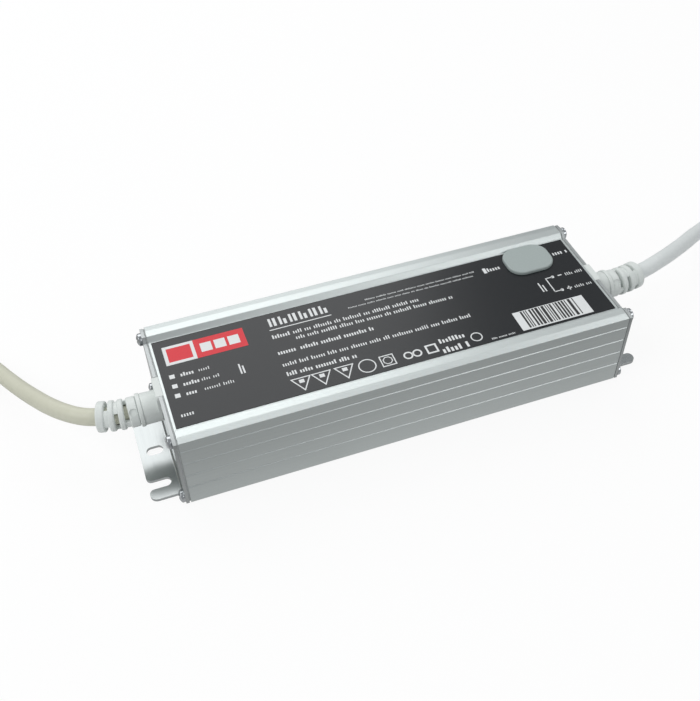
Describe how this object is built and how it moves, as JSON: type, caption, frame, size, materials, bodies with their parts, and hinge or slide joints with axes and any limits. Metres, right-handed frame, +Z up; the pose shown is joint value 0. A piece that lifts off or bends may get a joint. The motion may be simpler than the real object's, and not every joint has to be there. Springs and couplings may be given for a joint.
{
  "type": "led driver",
  "caption": "Sealed LED driver in a flat extruded aluminium case with folded end plates, slotted feet, moulded strain reliefs and a bared cable at each end.",
  "frame": {"origin": "middle of the base, on the plane the case and its feet stand on", "axes": "+X along the case towards the output end, +Y across it towards the rail beside the adjuster plug, +Z up out of the label face"},
  "size_m": [0.5237, 0.1848, 0.0388],
  "materials": {
    "extruded_aluminium": "satin, lightly drawn along the length",
    "plate_metal": "satin sheet",
    "gasket_rubber": "matte",
    "screw_steel": "plated, satin",
    "relief_plastic": "matte, slightly soft",
    "label_film": "dark film with a low gloss",
    "plug_rubber": "matte",
    "input_jacket": "matte cable jacket",
    "output_jacket": "matte cable jacket",
    "brown_insulation": "low gloss",
    "blue_insulation": "low gloss",
    "earth_insulation": "low gloss",
    "black_insulation": "low gloss",
    "white_insulation": "low gloss",
    "tinned_copper": "tinned",
    "board_laminate": "solder mask",
    "sheet_film": "matte",
    "potting_compound": "matte",
    "fuse_glass": "glossy",
    "varistor_coating": "low gloss",
    "film_capacitor_case": "low gloss",
    "ferrite": "matte, sintered",
    "enamelled_copper": "glossy enamel",
    "moulding_compound": "matte",
    "capacitor_sleeve": "shrunk sleeve",
    "coil_tape": "polyester tape",
    "powder_core": "painted",
    "spreader_aluminium": "mill finish",
    "trimmer_case": "low gloss",
    "trimmer_rotor": "matte"
  },
  "bodies": {
    "driver": {"case_extrusion": "extruded_aluminium", "input_end_plate": "plate_metal", "output_end_plate": "plate_metal", "input_gasket": "gasket_rubber", "output_gasket": "gasket_rubber", "end_screws": "screw_steel", "input_strain_relief": "relief_plastic", "output_strain_relief": "relief_plastic", "rating_label": "label_film", "adjuster_plug": "plug_rubber", "input_cable": "input_jacket", "output_cable": "output_jacket", "brown_core": "brown_insulation", "blue_core": "blue_insulation", "earth_core": "earth_insulation", "black_core": "black_insulation", "white_core": "white_insulation", "core_tips": "tinned_copper", "circuit_board": "board_laminate", "insulating_sheet": "sheet_film", "potting_bed": "potting_compound", "fuse": "fuse_glass", "varistor": "varistor_coating", "line_filter_capacitor": "film_capacitor_case", "line_choke_core": "ferrite", "line_choke_coils": "enamelled_copper", "bridge_rectifier": "moulding_compound", "power_factor_choke_core": "ferrite", "power_factor_choke_coil": "enamelled_copper", "bulk_capacitor": "capacitor_sleeve", "transformer_core": "ferrite", "transformer_coil": "coil_tape", "output_choke_core": "powder_core", "output_choke_coils": "enamelled_copper", "output_capacitors": "capacitor_sleeve", "heat_spreaders": "spreader_aluminium", "power_transistors": "moulding_compound", "voltage_trimmer_body": "trimmer_case", "current_trimmer_body": "trimmer_case"},
    "voltage_trimmer": {"voltage_trimmer_rotor": "trimmer_rotor"},
    "current_trimmer": {"current_trimmer_rotor": "trimmer_rotor"}
  },
  "joints": [
    {"name": "voltage_adjust", "type": "hinge", "parent": "driver", "child": "voltage_trimmer", "pos_m": [0.0717, 0.0168, 0.0147], "axis": [0, 0, 1], "range_deg": [-130, 130]},
    {"name": "current_adjust", "type": "hinge", "parent": "driver", "child": "current_trimmer", "pos_m": [0.0797, 0.0168, 0.0147], "axis": [0, 0, 1], "range_deg": [-130, 130]}
  ]
}
